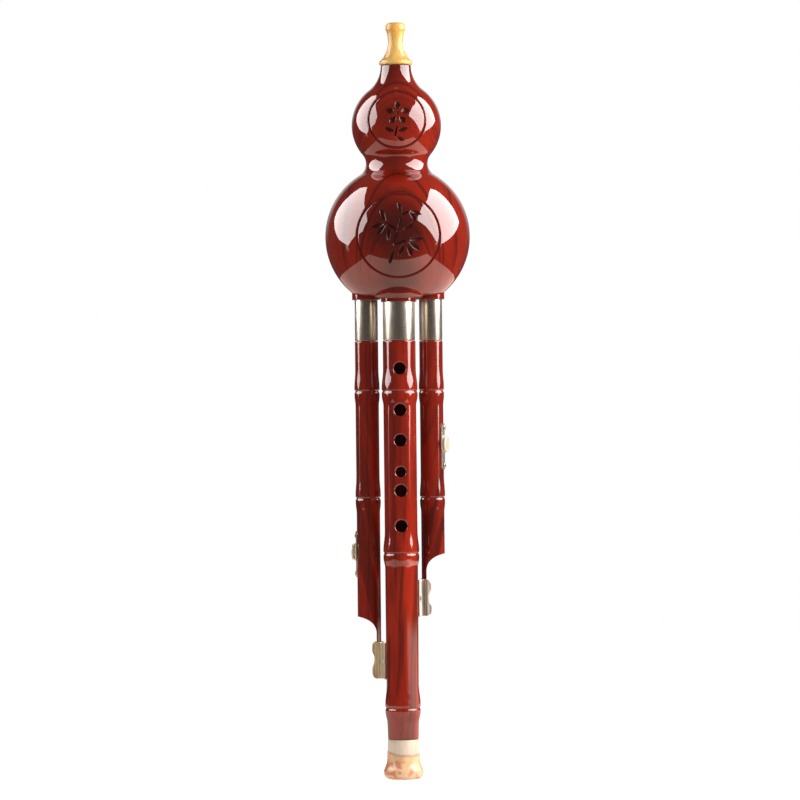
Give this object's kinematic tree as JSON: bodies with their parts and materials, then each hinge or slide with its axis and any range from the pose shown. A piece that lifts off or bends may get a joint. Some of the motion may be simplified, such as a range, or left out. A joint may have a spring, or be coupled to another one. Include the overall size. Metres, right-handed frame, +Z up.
{
  "type": "gourd flute",
  "caption": "Upright gourd flute: a hollow two-lobed gourd with a mouthpiece, a fingered main pipe with a foot ring and drone pipes with sliding switches, all plugged into its base.",
  "frame": {"origin": "on the gourd's axis, level with the lowest edge of the foot ring", "axes": "+Z up along the pipes to the mouthpiece; -Y is the front, the side with the row of finger holes; +X is to the right seen from the front"},
  "size_m": [0.0844, 0.0844, 0.44],
  "materials": {
    "lacquered_wood": "turned hardwood, stained mahogany red with dark grain, high-gloss lacquer",
    "nickel": "polished nickel plate",
    "dark_plastic": "dark moulded plastic",
    "cork": "sheet cork, waxed",
    "reed_brass": "rolled brass",
    "amber_plastic": "honey-coloured plastic, glossy",
    "marbled_plastic": "cream plastic marbled with gold and red, glossy",
    "clip_metal": "folded sheet, satin",
    "pad_rubber": "soft matt rubber"
  },
  "bodies": {
    "gourd": {"gourd_body": "lacquered_wood", "main_socket_ring": "lacquered_wood", "left_socket_ring": "lacquered_wood", "right_socket_ring": "lacquered_wood", "main_ferrule": "nickel", "left_ferrule": "nickel", "right_ferrule": "nickel", "main_reed_tube": "dark_plastic", "left_reed_tube": "dark_plastic", "right_reed_tube": "dark_plastic", "main_reed_plug": "dark_plastic", "left_reed_plug": "dark_plastic", "right_reed_plug": "dark_plastic", "main_reed_seal": "cork", "left_reed_seal": "cork", "right_reed_seal": "cork", "main_reed_plate": "reed_brass", "left_reed_plate": "reed_brass", "right_reed_plate": "reed_brass"},
    "mouthpiece": {"mouthpiece": "amber_plastic", "mouthpiece_cork": "cork"},
    "main_pipe": {"main_pipe": "lacquered_wood", "main_tenon_cork": "cork", "foot_ring": "marbled_plastic", "left_clip": "clip_metal", "left_clip_front_rivet": "clip_metal", "left_clip_rear_rivet": "clip_metal", "right_clip": "clip_metal", "right_clip_front_rivet": "clip_metal", "right_clip_rear_rivet": "clip_metal"},
    "left_drone": {"left_drone_pipe": "lacquered_wood", "left_tenon_cork": "cork", "left_switch_plate": "nickel", "left_switch_upper_screw": "nickel", "left_switch_lower_screw": "nickel"},
    "right_drone": {"right_drone_pipe": "lacquered_wood", "right_tenon_cork": "cork", "right_switch_plate": "nickel", "right_switch_upper_screw": "nickel", "right_switch_lower_screw": "nickel"},
    "left_switch": {"left_switch_slider": "nickel", "left_slider_pad": "pad_rubber"},
    "right_switch": {"right_switch_slider": "nickel", "right_slider_pad": "pad_rubber"}
  },
  "joints": [
    {"name": "mouthpiece_pull", "type": "slide", "parent": "gourd", "child": "mouthpiece", "axis": [0, 0, 1], "range_m": [0, 0.018]},
    {"name": "main_pipe_slide", "type": "slide", "parent": "gourd", "child": "main_pipe", "axis": [0, 0, -1], "range_m": [0, 0.02]},
    {"name": "left_drone_slide", "type": "slide", "parent": "gourd", "child": "left_drone", "axis": [0, 0, -1], "range_m": [0, 0.018]},
    {"name": "right_drone_slide", "type": "slide", "parent": "gourd", "child": "right_drone", "axis": [0, 0, -1], "range_m": [0, 0.018]},
    {"name": "left_switch_slide", "type": "slide", "parent": "left_drone", "child": "left_switch", "axis": [0, 0, -1], "range_m": [0, 0.0054]},
    {"name": "right_switch_slide", "type": "slide", "parent": "right_drone", "child": "right_switch", "axis": [0, 0, -1], "range_m": [0, 0.0054]}
  ]
}
